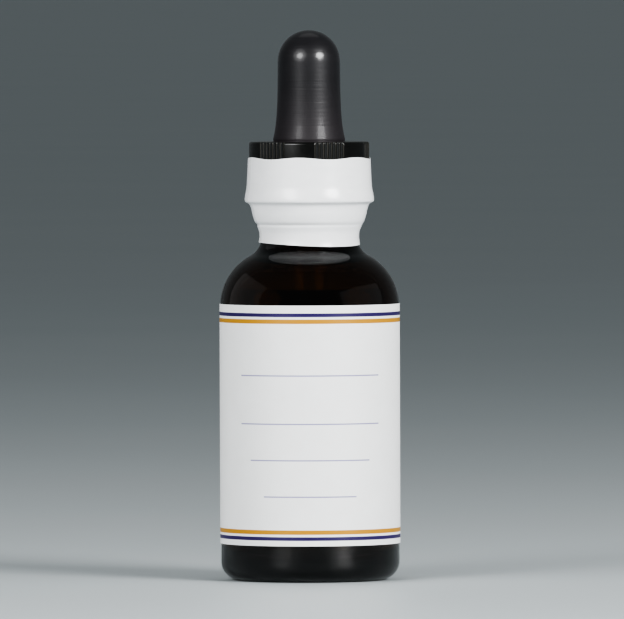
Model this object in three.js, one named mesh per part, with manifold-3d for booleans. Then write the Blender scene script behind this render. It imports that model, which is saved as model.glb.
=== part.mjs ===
// Dropper bottle for 30 ml of liquid extract: a round-shouldered amber glass bottle with a threaded neck,
// a wrap-round paper label, a white shrink seal, and a screw-on dropper made of a ribbed cap, a rubber bulb
// and a glass pipette. Millimetres, +Z up. The origin is the centre of the underside, and the label's front
// faces -Y.

import * as THREE from "three";
import { mergeVertices } from "three/addons/utils/BufferGeometryUtils.js";
import Module from "manifold-3d";

const wasm = await Module();
wasm.setup();

// Facets round every turned piece. Pieces that touch share them, so their gaps stay even all the way round.
const SIDES = 40;
const FACET = (2 * Math.PI) / SIDES;
const FIT_GAP = 0.06; // between pieces that touch
const RUNNING_GAP = 0.1; // between the cap and what it turns against

// Glass bottle
const BODY_RADIUS = 16.55;
const WALL = 2.3;
const BASE_THICKNESS = 3.2;
const HEEL_RADIUS = 3.4;
const FOOT_INNER_RADIUS = 9.6; // the flat ring that it stands on runs from here out to the heel
const PUSH_UP = 1.3; // hollow under the base
const SHOULDER_START = 50.7;
const SHOULDER_RADIUS = 10.5;
const NECK_RADIUS = 8.9;
const NECK_FILLET = 3.85;
const BEAD_HEIGHT = 66.9;
const BEAD_BULGE = 1.15;
const RIM_HEIGHT = 78.4;
const BORE_RADIUS = 5.7;
const BORE_FILLET = 3;
const LIP_RADIUS = 0.7;

// Neck thread: a 20 mm single-start bottle thread of 8 turns to the inch
const PITCH = 25.4 / 8;
const THREAD_ROOT_RADIUS = 8.8;
const THREAD_DEPTH = 0.95;
const THREAD_BASE_WIDTH = 1.6;
const THREAD_CREST_WIDTH = 0.8;
const THREAD_TURNS = 1.1;
const THREAD_BOTTOM = 73.2;
const THREAD_SINK = 0.3; // how far a thread is rooted in its wall
const RUN_OUT_TURNS = 0.1; // over which a thread's height fades at each end
const RUN_OUT_SHARE = 0.3; // of its height that is left at the very end
const STEPS_PER_TURN = 40;

// Label: cut 44.45 mm (1.75 in) tall, with a gap of two facets up the back of the bottle
const LABEL_BOTTOM = 6.65;
const LABEL_HEIGHT = 44.45;
const LABEL_THICKNESS = 0.15;
const LABEL_GAP_FACETS = 2;

// Liquid, filled to the height that 30 ml reaches round the pipette
const FILL_HEIGHT = 53.65;

// Ribbed screw cap
const CAP_RADIUS = 11.1;
const CAP_BOTTOM = 69.75;
const CAP_TOP = 81.05;
const CAP_TOP_WALL = 1.35;
const CAP_EDGE_CHAMFER = 0.4;
const CAP_BORE_RADIUS = 9.98;
const CAP_THREAD_DEPTH = 0.86;
const CAP_THREAD_BASE_WIDTH = 1.4;
const CAP_THREAD_CREST_WIDTH = 0.6;
const CAP_THREAD_TURNS = 1;
const CAP_THREAD_DROP = 1.1; // the cap's thread bears under the neck's, this far below it
const CAP_THREAD_LEAD_TURNS = 0.1; // by which the cap's thread starts before the neck's
const PANELS = 6; // ribbed panels, with as many smooth ones between
const RIBS_PER_PANEL = 7;
const RIB_STEP = THREE.MathUtils.degToRad(4);
const RIB_DEPTH = 0.28;
const PANEL_CENTRE = THREE.MathUtils.degToRad(18); // of the first ribbed panel, from the front towards +X
const SMOOTH_STEPS = 4;

// Rubber bulb
const BULB_TOP = 101.65;
const BULB_RADIUS = 5.75;
const BULB_WALL = 1.45;
const BULB_FLARE = 1.05; // by which its foot spreads, fading over FLARE_LENGTH
const FLARE_LENGTH = 3.4;
const FLARE_END = 9; // height above the cap where the flare has died away
const FLARE_STEPS = 7;
const FLANGE_RADIUS = 9.6;
const FLANGE_THICKNESS = 1.1;

// Glass pipette, 76 mm long
const PIPETTE_RADIUS = 3.5;
const PIPETTE_BORE_RADIUS = 2.6;
const PIPETTE_TOP = 87;
const PIPETTE_LENGTH = 76;
const TAPER_LENGTH = 13;
const TIP_RADIUS = 1.35;
const TIP_BORE_RADIUS = 0.6;
const TIP_LAND = 2; // straight length of the drawn tip

// Shrink seal
const FILM = 0.22;
const BAND_TOP = 78.2;
const BAND_BOTTOM = 62.2;
const BAND_SKIRT_BULGE = 0.64; // by which the film stands out round the cap's lower edge
const BAND_WAVE = 0.17; // the film's top edge dips at the ribbed panels and rises between them
const BAND_TILT = 0.2; // the lower edge hangs this much lower on the +X side than on average

/** Points of an arc from one angle to another, in degrees, anticlockwise unless the angle falls. */
function arc(x, y, radius, fromDegrees, toDegrees, steps) {
  const from = THREE.MathUtils.degToRad(fromDegrees);
  const to = THREE.MathUtils.degToRad(toDegrees);
  return new THREE.EllipseCurve(x, y, radius, radius, from, to, to < from).getPoints(steps);
}

/** A point of a turned profile: distance from the axis, and height. */
function at(radius, height) {
  return new THREE.Vector2(radius, height);
}

/** A profile turned round the Z axis. Its first facet starts at the front, -Y. */
function turned(profile) {
  return new THREE.LatheGeometry(profile, SIDES).rotateX(Math.PI / 2);
}

/** A profile that runs back to its first point. */
function closed(profile) {
  return [...profile, profile[0].clone()];
}

/** A closed geometry as a solid that can be joined and cut. */
function solid(geometry) {
  const bare = geometry.clone().deleteAttribute("normal").deleteAttribute("uv");
  const merged = mergeVertices(bare, 1e-4);
  return new wasm.Manifold(
    new wasm.Mesh({
      numProp: 3,
      vertProperties: merged.getAttribute("position").array,
      triVerts: new Uint32Array(merged.getIndex().array),
    }),
  );
}

/** The surface of a solid as a flat-shaded geometry. */
function surface(made) {
  const { vertProperties, triVerts } = made.getMesh();
  const geometry = new THREE.BufferGeometry();
  geometry.setAttribute("position", new THREE.BufferAttribute(vertProperties, 3));
  geometry.setIndex(new THREE.BufferAttribute(triVerts, 1));
  const faceted = geometry.toNonIndexed();
  faceted.computeVertexNormals();
  return faceted;
}

/** A right-hand helix round Z. Its frames keep a thread's section upright: x off the wall, y along the axis. */
class Helix extends THREE.Curve {
  constructor({ radius, bottom, firstTurn, turns, outward }) {
    super();
    Object.assign(this, { radius, bottom, firstTurn, turns, outward });
  }

  turnAt(t) {
    return this.firstTurn + this.turns * t;
  }

  radial(t) {
    const angle = 2 * Math.PI * this.turnAt(t);
    return new THREE.Vector3(Math.sin(angle), -Math.cos(angle), 0);
  }

  getPoint(t, target = new THREE.Vector3()) {
    target.copy(this.radial(t)).multiplyScalar(this.radius);
    return target.setZ(this.bottom + PITCH * this.turnAt(t));
  }

  computeFrenetFrames(steps) {
    const sense = this.outward ? 1 : -1;
    const frames = { tangents: [], normals: [], binormals: [] };
    for (let i = 0; i <= steps; i += 1) {
      const t = i / steps;
      const turnsFromEnd = this.turns * Math.min(t, 1 - t);
      const share = THREE.MathUtils.lerp(RUN_OUT_SHARE, 1, Math.min(1, turnsFromEnd / RUN_OUT_TURNS));
      frames.normals.push(this.radial(t).multiplyScalar(sense * share));
      frames.binormals.push(new THREE.Vector3(0, 0, -sense));
      frames.tangents.push(this.getTangent(t));
    }
    return frames;
  }
}

/** A thread's ridge as a solid: a trapezium carried along a helix on the wall's surface. */
function threadRidge({ depth, baseWidth, crestWidth, ...helix }) {
  const section = new THREE.Shape([
    new THREE.Vector2(-THREAD_SINK, -baseWidth / 2),
    new THREE.Vector2(depth, -crestWidth / 2),
    new THREE.Vector2(depth, crestWidth / 2),
    new THREE.Vector2(-THREAD_SINK, baseWidth / 2),
  ]);
  const steps = Math.round(helix.turns * STEPS_PER_TURN);
  const extrudePath = new Helix(helix);
  return solid(new THREE.ExtrudeGeometry(section, { steps, bevelEnabled: false, extrudePath }));
}

/** Shoulder of the bottle or of its inside: an arc off the wall, then a tangent fillet up into the neck. */
function shoulder(shoulderRadius, neckRadius, filletRadius, arcSteps, filletSteps) {
  const centre = at(BODY_RADIUS - SHOULDER_RADIUS, SHOULDER_START);
  const across = neckRadius + filletRadius - centre.x;
  const apart = shoulderRadius + filletRadius;
  const up = Math.sqrt(apart ** 2 - across ** 2);
  const tangentDegrees = THREE.MathUtils.radToDeg(Math.atan2(up, across));
  const filletX = neckRadius + filletRadius;
  return [
    ...arc(centre.x, centre.y, shoulderRadius, 0, tangentDegrees, arcSteps),
    ...arc(filletX, centre.y + up, filletRadius, 180 + tangentDegrees, 180, filletSteps).slice(1),
  ];
}

/** The inside of the bottle from the middle of its floor up to the neck, drawn in by an inset. */
function cavityProfile(inset, heelSteps, arcSteps, filletSteps) {
  const radius = BODY_RADIUS - WALL - inset;
  const floor = BASE_THICKNESS + inset;
  const heel = HEEL_RADIUS;
  return [
    at(0, floor),
    ...arc(radius - heel, floor + heel, heel, -90, 0, heelSteps),
    ...shoulder(SHOULDER_RADIUS - WALL - inset, BORE_RADIUS - inset, BORE_FILLET, arcSteps, filletSteps),
  ];
}

/** Blown glass bottle with its bead and thread. */
function bottleGeometry() {
  const outside = [
    at(0, PUSH_UP),
    at(FOOT_INNER_RADIUS * 0.6, PUSH_UP * 0.75),
    at(FOOT_INNER_RADIUS, 0),
    ...arc(BODY_RADIUS - HEEL_RADIUS, HEEL_RADIUS, HEEL_RADIUS, -90, 0, 5),
    ...shoulder(SHOULDER_RADIUS, NECK_RADIUS, NECK_FILLET, 7, 5),
    ...arc(NECK_RADIUS, BEAD_HEIGHT, BEAD_BULGE, -90, 90, 6),
    at(THREAD_ROOT_RADIUS, BEAD_HEIGHT + BEAD_BULGE),
    ...arc(THREAD_ROOT_RADIUS - LIP_RADIUS, RIM_HEIGHT - LIP_RADIUS, LIP_RADIUS, 0, 90, 3),
  ];
  const lipInside = arc(BORE_RADIUS + LIP_RADIUS, RIM_HEIGHT - LIP_RADIUS, LIP_RADIUS, 90, 180, 3);
  const inside = [...lipInside, ...cavityProfile(0, 4, 5, 4).reverse()];
  const thread = threadRidge({
    radius: THREAD_ROOT_RADIUS,
    bottom: THREAD_BOTTOM,
    firstTurn: 0,
    turns: THREAD_TURNS,
    outward: true,
    depth: THREAD_DEPTH,
    baseWidth: THREAD_BASE_WIDTH,
    crestWidth: THREAD_CREST_WIDTH,
  });
  return surface(solid(turned([...outside, ...inside])).add(thread));
}

/** Paper label: a strip bent round the bottle, open at the back. */
function labelGeometry() {
  const inner = BODY_RADIUS + FIT_GAP;
  const outer = inner + LABEL_THICKNESS;
  const lastFacet = (SIDES - LABEL_GAP_FACETS) / 2;
  const outerEdge = [];
  const innerEdge = [];
  for (let facet = -lastFacet; facet <= lastFacet; facet += 1) {
    const front = new THREE.Vector2(Math.sin(facet * FACET), -Math.cos(facet * FACET));
    outerEdge.push(front.clone().multiplyScalar(outer));
    innerEdge.unshift(front.clone().multiplyScalar(inner));
  }
  const strip = new THREE.Shape([...outerEdge, ...innerEdge]);
  const sleeve = new THREE.ExtrudeGeometry(strip, { depth: LABEL_HEIGHT, bevelEnabled: false });
  return sleeve.translate(0, 0, LABEL_BOTTOM);
}

/** Outside of the pipette from its tip to its top, grown by a gap. */
function pipetteOutside(gap, top) {
  const tip = PIPETTE_TOP - PIPETTE_LENGTH;
  return [
    at(TIP_RADIUS + gap, tip - gap),
    at(TIP_RADIUS + gap, tip + TIP_LAND),
    at(PIPETTE_RADIUS + gap, tip + TAPER_LENGTH),
    at(PIPETTE_RADIUS + gap, top),
  ];
}

/** Liquid fill: the bottle's inside up to the fill height, with a hole where the pipette stands. */
function extractGeometry() {
  const inside = cavityProfile(FIT_GAP, 4, 5, 3);
  const above = RIM_HEIGHT;
  const cavity = solid(turned([...inside, at(0, inside.at(-1).y)]));
  const wide = 2 * BODY_RADIUS;
  const headspace = solid(turned([at(0, FILL_HEIGHT), at(wide, FILL_HEIGHT), at(wide, above), at(0, above)]));
  const hole = pipetteOutside(RUNNING_GAP, above);
  const pipetteHole = solid(turned([at(0, hole[0].y), ...hole, at(0, above)]));
  return surface(cavity.subtract(headspace).subtract(pipetteHole));
}

/** Glass tube drawn down to a fine tip. */
function pipetteGeometry() {
  const tip = PIPETTE_TOP - PIPETTE_LENGTH;
  const inside = [
    at(PIPETTE_BORE_RADIUS, PIPETTE_TOP),
    at(PIPETTE_BORE_RADIUS, tip + TAPER_LENGTH),
    at(TIP_BORE_RADIUS, tip + TIP_LAND),
    at(TIP_BORE_RADIUS, tip),
  ];
  return turned(closed([...pipetteOutside(0, PIPETTE_TOP), ...inside]));
}

/** Rubber bulb: a domed tube with a flared foot, a flange under the cap's top and a neck round the pipette. */
function bulbGeometry() {
  const flangeBottom = RIM_HEIGHT + FIT_GAP;
  const flangeTop = flangeBottom + FLANGE_THICKNESS;
  const domeCentre = BULB_TOP - BULB_RADIUS;
  const chamberRadius = BULB_RADIUS - BULB_WALL;
  const gripRadius = PIPETTE_RADIUS + FIT_GAP;
  const inside = [
    ...arc(0, domeCentre, chamberRadius, 90, 0, 5),
    at(chamberRadius, PIPETTE_TOP + FIT_GAP),
    at(gripRadius, PIPETTE_TOP + FIT_GAP),
    at(gripRadius, flangeBottom),
  ];
  const flare = [];
  for (let i = 0; i <= FLARE_STEPS; i += 1) {
    const height = FLARE_END * (i / FLARE_STEPS) ** 1.5;
    flare.push(at(BULB_RADIUS + BULB_FLARE * Math.exp(-height / FLARE_LENGTH), CAP_TOP + height));
  }
  const outside = [
    at(FLANGE_RADIUS, flangeBottom),
    at(FLANGE_RADIUS, flangeTop),
    at(flare[0].x, flangeTop),
    ...flare,
    ...arc(0, domeCentre, BULB_RADIUS, 0, 90, 7),
  ];
  return turned([...inside, ...outside]);
}

/** Outline of the cap seen from above: panels of fine grooves with smooth panels between. */
function ribbedOutline() {
  const points = [];
  const add = (angle, radius) => {
    points.push(new THREE.Vector2(radius * Math.sin(angle), -radius * Math.cos(angle)));
  };
  const panelStep = (2 * Math.PI) / PANELS;
  const ribbedWidth = RIBS_PER_PANEL * RIB_STEP;
  const smoothWidth = panelStep - ribbedWidth;
  for (let panel = 0; panel < PANELS; panel += 1) {
    const start = PANEL_CENTRE + panel * panelStep - ribbedWidth / 2;
    for (let rib = 0; rib < RIBS_PER_PANEL; rib += 1) {
      add(start + rib * RIB_STEP, CAP_RADIUS);
      add(start + (rib + 0.5) * RIB_STEP, CAP_RADIUS - RIB_DEPTH);
    }
    for (let step = 0; step < SMOOTH_STEPS; step += 1) {
      add(start + ribbedWidth + (smoothWidth * step) / SMOOTH_STEPS, CAP_RADIUS);
    }
  }
  return new THREE.Shape(points);
}

/** Ribbed cap, open below, with a hole for the bulb in its top and a thread inside. */
function capGeometry() {
  const height = CAP_TOP - CAP_BOTTOM;
  const skirt = new THREE.ExtrudeGeometry(ribbedOutline(), { depth: height, bevelEnabled: false });
  const envelopeRadius = CAP_RADIUS + RIB_DEPTH;
  const chamfer = CAP_EDGE_CHAMFER + RIB_DEPTH;
  const envelope = turned([
    at(0, CAP_BOTTOM - 1),
    at(envelopeRadius, CAP_BOTTOM - 1),
    at(envelopeRadius, CAP_TOP - chamfer),
    at(envelopeRadius - chamfer, CAP_TOP),
    at(0, CAP_TOP),
  ]);
  const holeRadius = BULB_RADIUS + BULB_FLARE + RUNNING_GAP;
  const inside = turned([
    at(0, CAP_BOTTOM - 1),
    at(CAP_BORE_RADIUS, CAP_BOTTOM - 1),
    at(CAP_BORE_RADIUS, CAP_TOP - CAP_TOP_WALL),
    at(holeRadius, CAP_TOP - CAP_TOP_WALL),
    at(holeRadius, CAP_TOP + 1),
    at(0, CAP_TOP + 1),
  ]);
  const thread = threadRidge({
    radius: CAP_BORE_RADIUS,
    bottom: THREAD_BOTTOM - CAP_THREAD_DROP,
    firstTurn: -CAP_THREAD_LEAD_TURNS,
    turns: CAP_THREAD_TURNS,
    outward: false,
    depth: CAP_THREAD_DEPTH,
    baseWidth: CAP_THREAD_BASE_WIDTH,
    crestWidth: CAP_THREAD_CREST_WIDTH,
  });
  const body = solid(skirt.translate(0, 0, CAP_BOTTOM)).intersect(solid(envelope));
  return surface(body.subtract(solid(inside)).add(thread));
}

/** Shrink film: one sleeve over the cap's skirt, drawn in below the cap, over the bead and onto the neck. */
function bandGeometry() {
  const overCap = CAP_RADIUS + RUNNING_GAP + FILM;
  const overBead = NECK_RADIUS + BEAD_BULGE + FIT_GAP + FILM;
  const overNeck = NECK_RADIUS + FIT_GAP + FILM;
  const outside = [
    at(overNeck + 0.27, BAND_BOTTOM),
    at(overNeck + 0.16, BAND_BOTTOM + 1.2),
    at(overNeck + 0.25, BEAD_HEIGHT - 2.6),
    at(overNeck + 0.55, BEAD_HEIGHT - 1.5),
    at(overBead, BEAD_HEIGHT - 0.4),
    at(overBead + 0.25, BEAD_HEIGHT + 0.4),
    at(overBead + 0.47, CAP_BOTTOM - 1.55),
    at(overCap - 0.44, CAP_BOTTOM - 1),
    at(overCap - 0.1, CAP_BOTTOM - 0.45),
    at(overCap + BAND_SKIRT_BULGE * 0.62, CAP_BOTTOM + 0.1),
    at(overCap + BAND_SKIRT_BULGE, CAP_BOTTOM + 0.65),
    at(overCap + BAND_SKIRT_BULGE * 0.94, CAP_BOTTOM + 1.25),
    at(overCap + BAND_SKIRT_BULGE * 0.48, CAP_BOTTOM + 2.35),
    at(overCap + BAND_SKIRT_BULGE * 0.23, CAP_BOTTOM + 4.6),
    at(overCap, BAND_TOP),
  ];
  const inside = outside.map(({ x, y }) => at(x - FILM, y)).reverse();
  const film = turned(closed([...outside, ...inside]));
  const position = film.getAttribute("position");
  for (let i = 0; i < position.count; i += 1) {
    const height = position.getZ(i);
    const angle = Math.atan2(position.getX(i), -position.getY(i));
    if (height > BAND_TOP - FIT_GAP) {
      position.setZ(i, height - BAND_WAVE * Math.cos(PANELS * (angle - PANEL_CENTRE)));
    } else if (height < BAND_BOTTOM + FIT_GAP) {
      position.setZ(i, height - BAND_TILT * Math.sin(angle));
    }
  }
  film.computeVertexNormals();
  return film;
}

/** A named piece with its finish. */
function piece(name, geometry, finish) {
  const mesh = new THREE.Mesh(geometry, new THREE.MeshStandardMaterial(finish));
  mesh.name = name;
  return mesh;
}

const AMBER_GLASS = { color: 0x2a1206, roughness: 0.05, metalness: 0, transparent: true, opacity: 0.75 };
const CLEAR_GLASS = { color: 0xe8eeee, roughness: 0.05, metalness: 0, transparent: true, opacity: 0.35 };
const PAPER = { color: 0xe6e6e6, roughness: 0.55, metalness: 0 };
const WHITE_FILM = { color: 0xe8e8e8, roughness: 0.35, metalness: 0 };
const BLACK_PLASTIC = { color: 0x121212, roughness: 0.25, metalness: 0 };
const BLACK_RUBBER = { color: 0x262629, roughness: 0.45, metalness: 0 };
const DARK_EXTRACT = { color: 0x1a0b05, roughness: 0.1, metalness: 0 };

const filledBottle = new THREE.Group();
filledBottle.add(
  piece("bottle", bottleGeometry(), AMBER_GLASS),
  piece("extract", extractGeometry(), DARK_EXTRACT),
  piece("label", labelGeometry(), PAPER),
  piece("band", bandGeometry(), WHITE_FILM),
);

const dropper = new THREE.Group();
dropper.add(
  piece("cap", capGeometry(), BLACK_PLASTIC),
  piece("bulb", bulbGeometry(), BLACK_RUBBER),
  piece("pipette", pipetteGeometry(), CLEAR_GLASS),
);

const dropperBottle = new THREE.Group();
dropperBottle.add(filledBottle, dropper);

export default dropperBottle;
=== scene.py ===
"""Looks of a dropper bottle for 30 ml of liquid extract.

Seven pieces stand for the frame's seven solids. Sizes are millimetres, and become metres as a mesh is laid
down. Angles run from the label's front (-Y) towards +X: x = r sin a, y = -r cos a.
"""

import logging
from abc import ABC, abstractmethod
from collections.abc import Callable, Mapping, Sequence
from dataclasses import dataclass
from enum import Enum
from functools import cached_property, partial
from typing import Any, ClassVar

import bmesh
import bpy
import numpy as np
from mathutils import Matrix, Vector
from numpy.typing import NDArray


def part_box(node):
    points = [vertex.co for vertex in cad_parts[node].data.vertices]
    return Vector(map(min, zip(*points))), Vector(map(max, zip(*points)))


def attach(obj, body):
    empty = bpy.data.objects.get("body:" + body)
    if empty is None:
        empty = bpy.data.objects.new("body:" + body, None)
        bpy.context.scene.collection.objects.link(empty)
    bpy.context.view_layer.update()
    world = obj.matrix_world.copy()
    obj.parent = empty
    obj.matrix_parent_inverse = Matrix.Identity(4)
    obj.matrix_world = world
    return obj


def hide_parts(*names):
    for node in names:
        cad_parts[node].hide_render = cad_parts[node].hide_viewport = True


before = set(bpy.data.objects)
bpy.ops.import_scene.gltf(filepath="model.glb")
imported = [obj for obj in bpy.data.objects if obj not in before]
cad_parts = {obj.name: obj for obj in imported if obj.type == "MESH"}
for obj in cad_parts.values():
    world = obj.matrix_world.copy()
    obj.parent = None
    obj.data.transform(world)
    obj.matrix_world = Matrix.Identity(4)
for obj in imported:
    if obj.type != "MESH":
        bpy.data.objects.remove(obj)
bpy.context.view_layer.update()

Array = NDArray[np.float64]
Quads = NDArray[np.int64]
Span = tuple[float, float]
Triple = tuple[float, float, float]
Colour = tuple[float, float, float, float]
Node = bpy.types.ShaderNode
Socket = bpy.types.NodeSocket
Adder = Callable[..., Node]
Mesh = bpy.types.Mesh

LOG = logging.getLogger("dropper_bottle")
MM = 0.001
TURN = 2.0 * np.pi
WELD = 1e-5  # mm, below which two points of a surface are one


class Body(Enum):
    """Rigid bodies of the frame that a piece can ride on."""

    FILLED_BOTTLE = "filled_bottle"
    DROPPER = "dropper"
    CLOSURE = "closure"


# Colour and shader nodes


def linear(hex_colour: str) -> Colour:
    """Turns an sRGB hex colour into the linear colour that a shader takes.

    Args:
        hex_colour: Colour as "#RRGGBB".

    Returns:
        Red, green, blue and alpha, from 0 to 1.
    """
    channels = np.array([int(hex_colour[i : i + 2], 16) for i in (1, 3, 5)]) / 255.0
    toe = channels / 12.92
    curve = ((channels + 0.055) / 1.055) ** 2.4
    red, green, blue = np.where(channels <= 0.04045, toe, curve)
    return float(red), float(green), float(blue), 1.0


def per_mm(size: float) -> float:
    """Texture scale, in repeats a metre, of a pattern whose features are `size` millimetres across."""
    return 1.0 / (size * MM)


def add_node(
    material: bpy.types.Material, kind: str, inputs: Mapping[Any, Any] | Sequence[Any] = (), **settings: Any
) -> Node:
    """Adds a shader node with its settings and links.

    Args:
        material: Material whose tree gets the node.
        kind: Node type, without the "ShaderNode" that its name starts with.
        inputs: Values of the inputs, in order or by name or number. A hex colour is made linear. A socket is
            linked, and so is a node's first output in use.
        **settings: Properties of the node itself.

    Returns:
        The new node.
    """
    tree = material.node_tree
    node = tree.nodes.new(f"ShaderNode{kind}")
    for key, value in settings.items():
        setattr(node, key, value)
    for key, value in inputs.items() if isinstance(inputs, Mapping) else enumerate(inputs):
        source = next(out for out in value.outputs if out.enabled) if isinstance(value, Node) else value
        if isinstance(source, Socket):
            tree.links.new(source, node.inputs[key])
        else:
            node.inputs[key].default_value = linear(source) if isinstance(source, str) else source
    return node


def bearing(add: Adder, axes: Mapping[str, Socket]) -> Node:
    """Adds the angle round the axis, from the front towards +X: arctan2(x, -y)."""
    front = add("Math", (axes["Y"], -1.0), operation="MULTIPLY")
    return add("Math", (axes["X"], front), operation="ARCTAN2")


class Finish(ABC):
    """A material and how its surface was made."""

    title: str

    @abstractmethod
    def lay(self, add: Adder) -> None:
        """Adds the finish's nodes, up to the material output."""

    def material(self) -> bpy.types.Material:
        """Makes the finish as a Blender material.

        Returns:
            The finished material.
        """
        material = bpy.data.materials.new(self.title)
        material.use_nodes = True
        material.node_tree.nodes.clear()
        self.lay(partial(add_node, material))
        return material


@dataclass(frozen=True)
class Glass(Finish):
    """Soda-lime glass with a fire-polished skin: sharp reflections that swim with the wall's slow waves.

    The colour is in the body of the glass, so thick edges are darker than thin walls.
    """

    title: str = "amber_soda_lime_glass_blown"
    surface: str = "#FFFFFF"
    ior: float = 1.52
    wave_size: float = 9.0
    wave_height: float = 0.03
    smudge_size: float = 14.0
    smudge_span: Span = (0.45, 0.75)
    roughness: Span = (0.015, 0.05)
    absorbed: str = "#D5C166"
    density: float = 1650.0

    def lay(self, add: Adder) -> None:
        """Adds waves, handling smudges, a clear surface and a coloured body.

        Args:
            add: Adds a node to the material.
        """
        place = add("TexCoord").outputs["Object"]
        waves = add(
            "TexNoise", {"Vector": place, "Scale": per_mm(self.wave_size), "Detail": 1.0, "Roughness": 0.4}
        )
        swim = add("Bump", {"Height": waves, "Strength": 1.0, "Distance": self.wave_height * MM})
        smudges = add(
            "TexNoise", {"Vector": place, "Scale": per_mm(self.smudge_size), "Detail": 5.0, "Roughness": 0.6}
        )
        gloss = add("MapRange", (smudges, *self.smudge_span, *self.roughness))
        look = {"Base Color": self.surface, "Roughness": gloss, "IOR": self.ior, "Normal": swim}
        surface = add("BsdfPrincipled", {**look, "Transmission Weight": 1.0})
        body = add("VolumeAbsorption", {"Color": self.absorbed, "Density": self.density})
        add("OutputMaterial", {"Surface": surface, "Volume": body})


@dataclass(frozen=True)
class Clouded(Finish):
    """An even surface with soft clouds of a second tone in it."""

    title: str
    tones: tuple[str, str]
    cloud_size: float
    roughness: float
    ior: float = 1.5
    detail: float = 2.0
    distortion: float = 0.0

    def lay(self, add: Adder) -> None:
        """Adds the clouds and the surface.

        Args:
            add: Adds a node to the material.
        """
        place = add("TexCoord").outputs["Object"]
        pattern = {"Scale": per_mm(self.cloud_size), "Detail": self.detail, "Distortion": self.distortion}
        clouds = add("TexNoise", {"Vector": place, **pattern})
        colour = add("Mix", {0: clouds, 6: self.tones[0], 7: self.tones[1]}, data_type="RGBA")
        look = {"Base Color": colour, "Roughness": self.roughness, "IOR": self.ior}
        add("OutputMaterial", {"Surface": add("BsdfPrincipled", look)})


# Dark brown extract with fine plant matter in it: all but opaque, with a wet shine on its top
HERB_EXTRACT = Clouded(
    "herb_extract_dark_brown", ("#1A0E08", "#231509"), 5.0, 0.06, ior=1.45, detail=4.0, distortion=0.6
)
# Pale satin background paper: even, with a breath of cloud in its tone and a sheen at low angles
STUDIO_PAPER = Clouded("pale_background_paper_satin", ("#C9CFD1", "#C4CBCD"), 180.0, 0.5)


@dataclass(frozen=True)
class MouldedRubber(Finish):
    """Black natural rubber, press-moulded: satin, with a thin waxy bloom that catches soft lights.

    Faint level bands and fine lines are left where the rubber flowed up the mould. Towards the foot the wax
    is thinner, and the black turns a paler grey: partly dust, partly a painted sheen.
    """

    title: str = "black_rubber_press_moulded"
    dark: str = "#110F12"
    bloom: str = "#1B191D"
    # Paler grey of the foot: partly dust, partly a painted sheen
    dust_and_sheen: str = "#2B272A"
    band_size: float = 7.0
    band_squeeze: float = 5.0
    line_size: float = 8.0
    line_squeeze: float = 20.0
    grain_size: float = 0.3
    grain_share: float = 0.1
    skin_height: float = 0.045
    roughness: Span = (0.44, 0.52)
    ior: float = 1.47
    dull: float = 0.05
    dust_and_sheen_heights: Span = (92.0, 82.0)  # where the paler dust and painted sheen start, and where they are full
    wax: Span = (0.15, 0.75)  # at the foot and above it
    wax_heights: Span = (86.0, 95.0)
    wax_roughness: float = 0.17

    def lay(self, add: Adder) -> None:
        """Adds flow bands, mould lines, grain, dust with a painted sheen at the foot and a wax that grows
        from the foot up.

        Args:
            add: Adds a node to the material.
        """
        place = add("TexCoord").outputs["Object"]
        height = add("SeparateXYZ", (place,)).outputs["Z"]
        level = add("Mapping", {"Vector": place, "Scale": (1.0, 1.0, self.band_squeeze)})
        bands = add("TexNoise", {"Vector": level, "Scale": per_mm(self.band_size), "Detail": 3.0})
        colour = add("Mix", {0: bands, 6: self.dark, 7: self.bloom}, data_type="RGBA")
        foot_share = add("MapRange", (height, *np.multiply(self.dust_and_sheen_heights, MM)))
        # Paler grey towards the foot: partly dust, partly a painted sheen
        dust_and_sheen_colour = add("Mix", {0: foot_share, 6: colour, 7: self.dust_and_sheen}, data_type="RGBA")
        gloss = add("MapRange", (bands, 0.0, 1.0, *self.roughness))
        matte = add("Math", (foot_share, self.dull, gloss), operation="MULTIPLY_ADD")
        wax = add("MapRange", (height, *np.multiply(self.wax_heights, MM), *self.wax))
        grain = add("TexNoise", {"Vector": place, "Scale": per_mm(self.grain_size), "Detail": 2.0})
        flat = add("Mapping", {"Vector": place, "Scale": (1.0, 1.0, self.line_squeeze)})
        lines = add("TexNoise", {"Vector": flat, "Scale": per_mm(self.line_size), "Detail": 1.0})
        relief = add("Math", (grain, self.grain_share, lines), operation="MULTIPLY_ADD")
        skin = add("Bump", {"Height": relief, "Strength": 0.8, "Distance": self.skin_height * MM})
        look = {"Base Color": dust_and_sheen_colour, "Roughness": matte, "IOR": self.ior, "Normal": skin}
        coat = {"Coat Weight": wax, "Coat Roughness": self.wax_roughness}
        add("OutputMaterial", {"Surface": add("BsdfPrincipled", {**look, **coat})})


@dataclass(frozen=True)
class Ribbing:
    """Panels of fine ribs round a cap: how many, where one is centred, ribs in each and a rib's angle."""

    panels: int = 6
    centre: float = np.radians(20.3)
    ribs: int = 7
    step: float = np.radians(4.2)


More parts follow.
